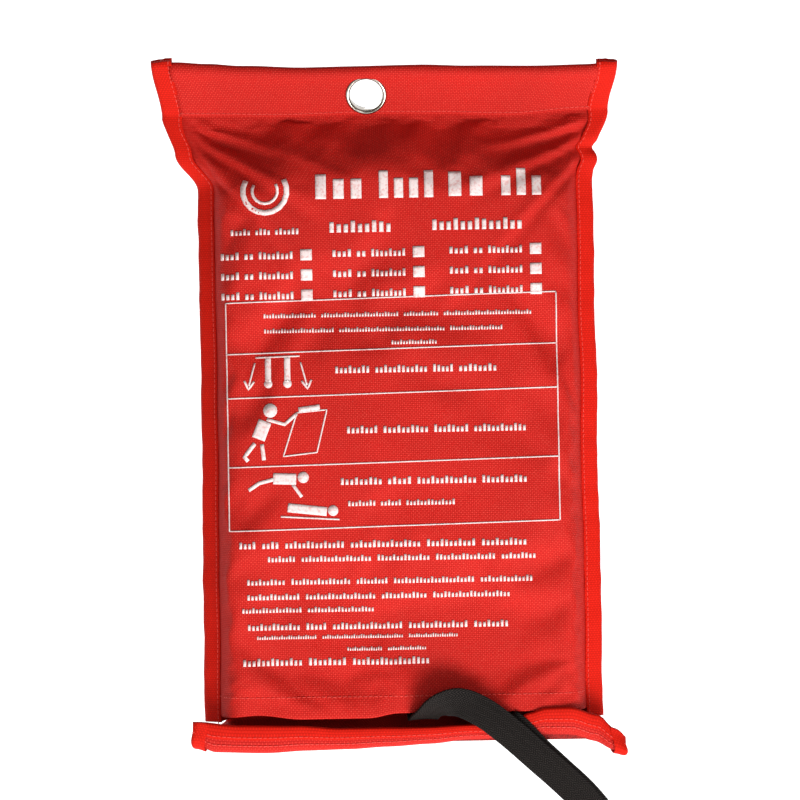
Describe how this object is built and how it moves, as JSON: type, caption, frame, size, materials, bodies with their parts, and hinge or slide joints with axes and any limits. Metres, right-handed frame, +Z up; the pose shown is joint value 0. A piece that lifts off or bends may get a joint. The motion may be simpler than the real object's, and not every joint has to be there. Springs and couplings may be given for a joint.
{
  "type": "fire blanket",
  "caption": "Folded glass-fibre fire blanket in a flat red cloth pouch with a hanging eyelet in its header and black webbing pull straps at its mouth.",
  "frame": {"origin": "centre of the hanging eyelet", "axes": "+Z up as the pouch hangs, -Y out of the front, +X to the right seen from the front"},
  "size_m": [0.2671, 0.0544, 0.476],
  "materials": {
    "pouch_cloth": "woven polyester, semi-gloss",
    "bias_tape": "woven tape, satin",
    "nickel": "polished nickel plate",
    "closure_tape": "hook and loop pile",
    "glass_cloth": "woven glass fibre, matt",
    "webbing": "ribbed webbing, matt"
  },
  "bodies": {
    "pouch": {"front_panel": "pouch_cloth", "back_panel": "pouch_cloth", "header_hem": "pouch_cloth", "front_hem": "pouch_cloth", "left_binding": "bias_tape", "right_binding": "bias_tape", "eyelet": "nickel", "eyelet_washer": "nickel", "loop_tape": "closure_tape"},
    "blanket": {"blanket_sheet": "glass_cloth", "blanket_edge_tape": "glass_cloth", "left_strap_anchor": "webbing", "right_strap_anchor": "webbing", "left_pull_strap": "webbing", "right_pull_strap": "webbing"},
    "flap": {"bottom_flap": "pouch_cloth"},
    "lip": {"flap_lip": "pouch_cloth", "lip_binding": "bias_tape", "left_lip_binding": "bias_tape", "right_lip_binding": "bias_tape", "hook_tape": "closure_tape"}
  },
  "joints": [
    {"name": "blanket_pull", "type": "slide", "parent": "pouch", "child": "blanket", "axis": [0, 0, -1], "range_m": [0, 0.3]},
    {"name": "flap_fold", "type": "hinge", "parent": "pouch", "child": "flap", "pos_m": [0, 0.02286, -0.3575], "axis": [1, 0, 0], "range_deg": [0, 66], "deforming": ["bottom_flap"]},
    {"name": "lip_fold", "type": "hinge", "parent": "flap", "child": "lip", "pos_m": [0, -0.0118, -0.3728], "axis": [1, 0, 0], "range_deg": [0, 102], "deforming": ["flap_lip", "lip_binding", "left_lip_binding", "right_lip_binding", "hook_tape"]}
  ],
  "couplings": [
    {"joint": "flap_fold", "follows": "blanket_pull", "rad_per_m": 3.8397},
    {"joint": "lip_fold", "follows": "blanket_pull", "rad_per_m": 5.9341}
  ]
}
